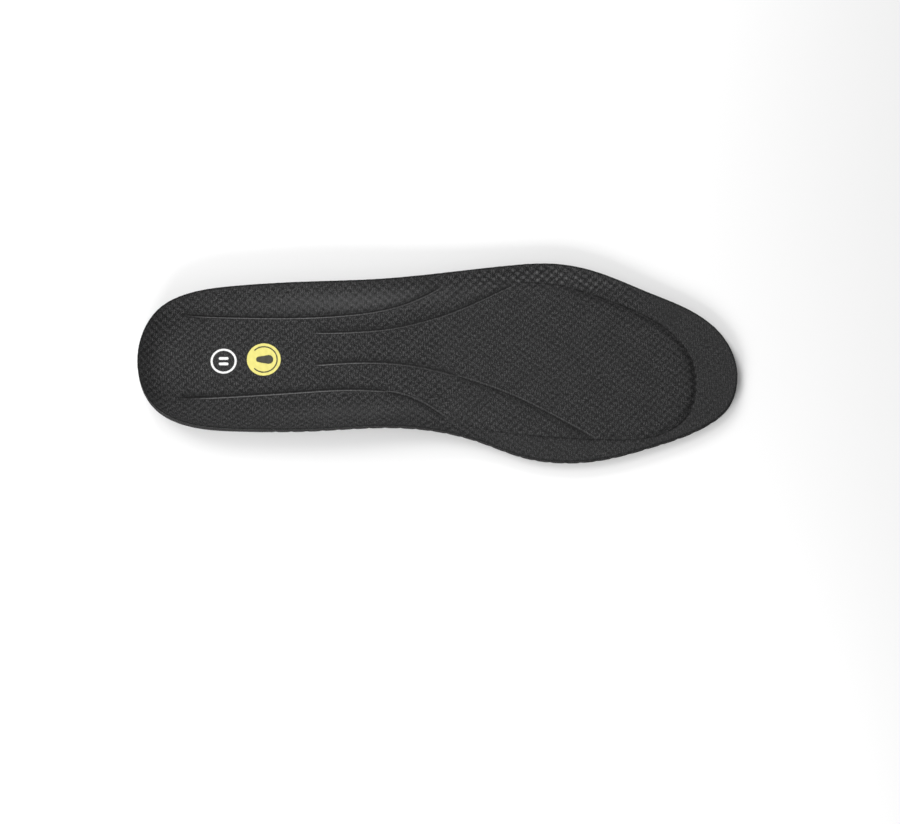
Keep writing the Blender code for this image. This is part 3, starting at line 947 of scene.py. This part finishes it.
class Knit(Nodes):
    """Charcoal knit: strokes of yarn on domed bumps, with painted shade in the pits, between the stitches
    and in the creases, and painted highlights on the bumps, the walls and the lines' edges.
    """

    def __init__(self):
        super().__init__("knit")
        self.u, self.v, self.pressed = self.attribute("knit")
        self.line, self.line_weight, self.highlight_edge = self.attribute("line")
        self.pad, self.pad_fade, self.depth = self.attribute("pad")
        self.cloth = self.combine(self.u, self.v)
        # The zone where a highlight is painted on the heel cup's walls.
        self.wall = self.times(self.bell(self.u, *WALL_HIGHLIGHT_ALONG), self.bell(self.depth, *WALL_HIGHLIGHT_DEPTH))
        self.standing = self.math("SUBTRACT", 1.0, self.times(self.pressed, 1 - PRESSED_BAND))
        self.level = self.bump_level()
        uneven = self.noise(self.cloth, 0.5, 1.0)
        self.uneven_level = self.math("ADD", self.level, self.scaled(uneven, 0.16, -0.08))
        self.stitch = self.stitches()
        across, along = self.math("DIVIDE", self.u, STROKE_WIDTH), self.math("DIVIDE", self.v, STROKE_LENGTH)
        self.strokes = self.noise(self.combine(across, along), 1.0, 1.0)
        self.grain = self.noise(self.cloth, 2.2, 1.0, 0.6)
        self.yarn = self.scaled(self.strokes, 0.5, self.times(self.grain, 0.5))

    def bump_level(self):
        """0 in the pits between the bumps, 1 on top of them."""
        along = self.math("COSINE", self.times(self.u, 2 * math.pi / BUMP_LENGTH))
        across = self.math("COSINE", self.times(self.v, 2 * math.pi / BUMP_WIDTH))
        return self.scaled(self.times(along, across), 0.5, 0.5)

    def stitches(self):
        """Height from 0 to 1 of the knit's rows of V-shaped stitches."""
        wander = self.noise(self.cloth, 0.6, 1.0)
        u = self.scaled(wander, 0.2, self.u)
        v = self.scaled(wander, 0.3, self.v)
        across = self.times(self.math("PINGPONG", self.math("DIVIDE", u, STITCH_WIDTH), 0.5), 2.0)
        phase = self.scaled(across, 0.7, self.math("DIVIDE", v, STITCH_LENGTH))
        leg = self.scaled(self.math("COSINE", self.times(phase, 2 * math.pi)), 0.5, 0.5)
        wale = self.math("SUBTRACT", 1.0, self.math("POWER", across, 4.0))
        return self.times(self.math("POWER", leg, 0.6), wale)

    def yarn_color(self):
        # The yarn's own tone, from dark to light at random; then painted shade in the gaps between the
        # stitches.
        patches = self.scaled(self.noise(self.cloth, 0.09), 0.06, -0.03)
        tone = self.math("ADD", self.yarn, patches)
        color = self.ramp(tone, (0.38, KNIT_DARK_YARN_AND_SHADE), (0.50, KNIT_GROUND), (0.62, KNIT_LIGHT_YARN_AND_HIGHLIGHT))
        return self.mix(self.ramp(self.stitch, (0.05, 0.85), (0.55, 0.0)), color, KNIT_DARK_YARN_AND_SHADE)

    def wall_highlight_and_pressing(self, color):
        """Painted highlight on the heel cup's walls, most on the lateral side; and lighter where the knit is
        pressed.
        """
        side = self.ramp(self.scaled(self.v, 0.05, 0.5), (0.0, 0.16), (1.0, 0.42))
        color = self.mix(self.times(self.wall, side), color, KNIT_LIGHT_YARN_AND_HIGHLIGHT)
        return self.mix(self.times(self.pressed, 0.45), color, KNIT_PRESSED)

    def bump_highlights_and_pit_shade(self, color):
        # Painted highlight on the tops of the bumps, along the stitch columns, and painted shade in the pits
        # between them, less where the wall highlight is painted.
        column = self.math("COSINE", self.times(self.u, 2 * math.pi / STITCH_WIDTH))
        column = self.scaled(column, 0.5, 0.5)
        top_highlight = self.ramp(self.uneven_level, (0.5, 0.0), (0.8, 0.32))
        color = self.mix(self.times(top_highlight, column, self.standing), color, KNIT_LIGHT_YARN_AND_HIGHLIGHT)
        pit_shade = self.ramp(self.uneven_level, (0.18, 0.9), (0.38, 0.0))
        narrow = self.scaled(column, 0.7, 0.3)
        pit_shade_share = self.math("SUBTRACT", self.standing, self.times(self.wall, 0.45))
        return self.mix(self.times(pit_shade, narrow, pit_shade_share), color, KNIT_PIT_SHADE)

    def glints(self, color):
        """Painted highlights, glints on the tops of the bumps on the lateral flange beside the pad."""
        flange = self.times(self.bell(self.u, *FLANGE_ALONG), self.bell(self.depth, *FLANGE_DEPTH))
        lateral = self.ramp(self.times(self.v, 0.05), (0.9, 0.0), (1.0, 1.0))
        glint = self.ramp(self.uneven_level, (0.62, 0.0), (0.9, 0.4))
        patchy = self.ramp(self.noise(self.cloth, 0.3), (0.4, 0.25), (0.62, 1.0))
        return self.mix(self.times(flange, lateral, glint, patchy), color, KNIT_HIGHLIGHT)

    def painted_shade(self, color):
        """Painted shade in the pressed lines, along the pad's border and down its slope, and at the rim."""
        bands = []
        for share, reach, strength in CREASE_BANDS:
            band = self.bell(self.line, self.times(self.highlight_edge, share), reach)
            bands.append(self.times(band, strength))
        line_shade = self.times(self.largest(*bands), self.line_weight)
        slope = self.times(self.bell(self.pad, *SLOPE_SHADE), 0.3)
        border = self.times(self.largest(self.bell(self.pad, *BORDER_SHADE), slope), self.pad_fade)
        dotted = self.scaled(self.math("SUBTRACT", 1.0, self.level), 0.6, 0.4)
        rim = self.times(self.bell(self.depth, *RIM_SHADE), 0.9)
        return self.mix(self.largest(line_shade, self.times(border, dotted), rim), color, KNIT_CREASE_SHADE)

    def line_highlights(self, color):
        # Painted highlight: a thin light line at each pressed line's highlight edge, fading along the insole
        # and broken by the yarn's strokes.
        stops = [(place / HIGHLIGHT_SPAN, strength) for place, strength in HIGHLIGHT_ALONG]
        brightness = self.ramp(self.math("DIVIDE", self.u, HIGHLIGHT_SPAN), *stops)
        broken = self.scaled(self.strokes, 1.2, 0.3)
        highlight = self.bell(self.line, self.highlight_edge, HIGHLIGHT_REACH)
        highlight = self.times(highlight, self.line_weight, brightness, broken)
        return self.mix(self.math("MINIMUM", highlight, 1.0), color, KNIT_HIGHLIGHT)

    def relief(self):
        normal = self.bump(self.times(self.level, self.standing), 0.12)
        normal = self.bump(self.stitch, 0.11, normal)
        normal = self.bump(self.strokes, 0.16, normal)
        return self.bump(self.grain, 0.08, normal)


def knit_look():
    knit = Knit()
    color = knit.yarn_color()
    for layer in (knit.wall_highlight_and_pressing, knit.bump_highlights_and_pit_shade, knit.glints, knit.painted_shade, knit.line_highlights):
        color = layer(color)
    rough = knit.ramp(knit.yarn, (0.42, 0.70), (0.60, 0.38))
    return knit.finish(color, knit.relief(), rough, specular=0.2, sheen=0.02)


def foam_look(name, dark, light, pore_scale, depth, roughness):
    """Cut or moulded foam: fine pores and a slightly uneven tone."""
    n = Nodes(name)
    place = n.coordinates()
    pores = n.add("ShaderNodeTexVoronoi", feature="F1")
    n.feed(pores.inputs["Vector"], place)
    pores.inputs["Scale"].default_value = pore_scale
    cloudy = n.noise(place, 0.25, 4.0, 0.6)
    tone = n.math("ADD", n.times(pores.outputs["Distance"], 0.5), n.times(cloudy, 0.6))
    color = n.ramp(tone, (0.25, dark), (0.75, light))
    normal = n.bump(pores.outputs["Distance"], depth)
    normal = n.bump(cloudy, depth, normal, strength=0.6)
    rough = n.ramp(cloudy, (0.3, roughness - 0.06), (0.7, roughness + 0.05))
    return n.finish(color, normal, rough, specular=0.25)


def backing_look():
    dark, light = (0.006, 0.006, 0.006), (0.017, 0.017, 0.017)
    return foam_look("backing_foam", dark, light, pore_scale=2.6, depth=0.12, roughness=0.88)


def moulded_look():
    dark, light = (0.005, 0.005, 0.0053), (0.014, 0.014, 0.0145)
    return foam_look("moulded_foam", dark, light, pore_scale=3.4, depth=0.06, roughness=0.78)


def cushion_look():
    dark, light = (0.05, 0.053, 0.056), (0.085, 0.09, 0.095)
    return foam_look("cushion_foam", dark, light, pore_scale=3.0, depth=0.03, roughness=0.6)


def ink_look(name, color, worn):
    """Screen print: slightly uneven ink, worn thin in spots."""
    n = Nodes(name)
    place = n.coordinates()
    speckle = n.noise(place, 2.2, 3.0, 0.6)
    patches = n.noise(place, 0.5)
    tone = n.math("ADD", n.times(speckle, 0.6), n.times(patches, 0.4))
    mixed = n.ramp(tone, (0.28, worn), (0.42, color))
    rough = n.ramp(speckle, (0.3, 0.62), (0.7, 0.48))
    return n.finish(mixed, n.bump(speckle, 0.04), rough, specular=0.4)


# -------------------- studio
def add_camera():
    data = bpy.data.cameras.new("camera")
    data.lens, data.sensor_width = LENS, SENSOR
    data.shift_x, data.shift_y = SHIFT
    data.clip_start, data.clip_end = 0.05, 20
    camera = bpy.data.objects.new("camera", data)
    distance = FRAME_WIDTH * LENS / SENSOR
    away = Vector((0, -math.cos(CAMERA_ELEVATION), math.sin(CAMERA_ELEVATION)))
    camera.location = Vector(CAMERA_TARGET) + distance * away
    camera.rotation_euler = (math.pi / 2 - CAMERA_ELEVATION, 0, 0)
    bpy.context.scene.collection.objects.link(camera)
    bpy.context.scene.camera = camera


def add_light(name, place, target, size, power):
    data = bpy.data.lights.new(name, "AREA")
    data.shape = "RECTANGLE"
    data.size, data.size_y = size
    data.energy = power
    light = bpy.data.objects.new(name, data)
    light.location = place
    light.rotation_euler = (Vector(target) - Vector(place)).to_track_quat("-Z", "Y").to_euler()
    bpy.context.scene.collection.objects.link(light)


def add_sun(direction, softness, strength):
    data = bpy.data.lights.new("key", "SUN")
    data.angle = softness
    data.energy = strength
    light = bpy.data.objects.new("key", data)
    light.rotation_euler = Vector(direction).to_track_quat("Z", "Y").to_euler()
    bpy.context.scene.collection.objects.link(light)


def add_floor():
    half, drop = 12.0, 0.0002
    corners = [(-half, -half, 0), (half, -half, 0), (half, half, 0), (-half, half, 0)]
    mesh = bpy.data.meshes.new("floor")
    mesh.from_pydata(corners, [], [[0, 1, 2, 3]])
    mesh.materials.append(Nodes("floor").finish((0.93, 0.93, 0.93), None, 0.9, specular=0.1))
    floor = bpy.data.objects.new("floor", mesh)
    bpy.context.scene.collection.objects.link(floor)
    floor.location.z = -drop


def add_studio():
    add_floor()
    world = bpy.data.worlds.new("studio")
    world.use_nodes = True
    background = world.node_tree.nodes["Background"]
    background.inputs["Color"].default_value = (1, 1, 1, 1)
    background.inputs["Strength"].default_value = 0.44
    bpy.context.scene.world = world
    add_sun(direction=(-0.75, 0.5, 0.95), softness=math.radians(30), strength=0.8)
    target, size = (-0.08, 0, 0), (0.3, 0.16)
    add_light("front", (-0.16, -0.40, 0.20), target, size, power=2.2)
    add_light("back", (-0.18, 0.38, 0.24), target, size, power=1.4)
    view = bpy.context.scene.view_settings
    view.view_transform = "Standard"
    view.look = "None"


def main():
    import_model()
    add_camera()
    add_studio()
    insole = Insole()
    world = World(insole)
    along, across = COVER_CELLS
    add_cover(insole, world, Patch(insole, along, across), knit_look())
    add_backing(insole, world, Patch(insole, *BACKING_CELLS), backing_look())
    add_footbed(insole, world, Patch(insole, *FOOTBED_CELLS), moulded_look())
    soft = cushion_look()
    add_cushion("heel_insert", "heel_cushion", HEEL_CUSHION, world, soft)
    add_cushion("forefoot_insert", "forefoot_cushion", FOREFOOT_CUSHION, world, soft)
    add_prints(insole, world)


main()
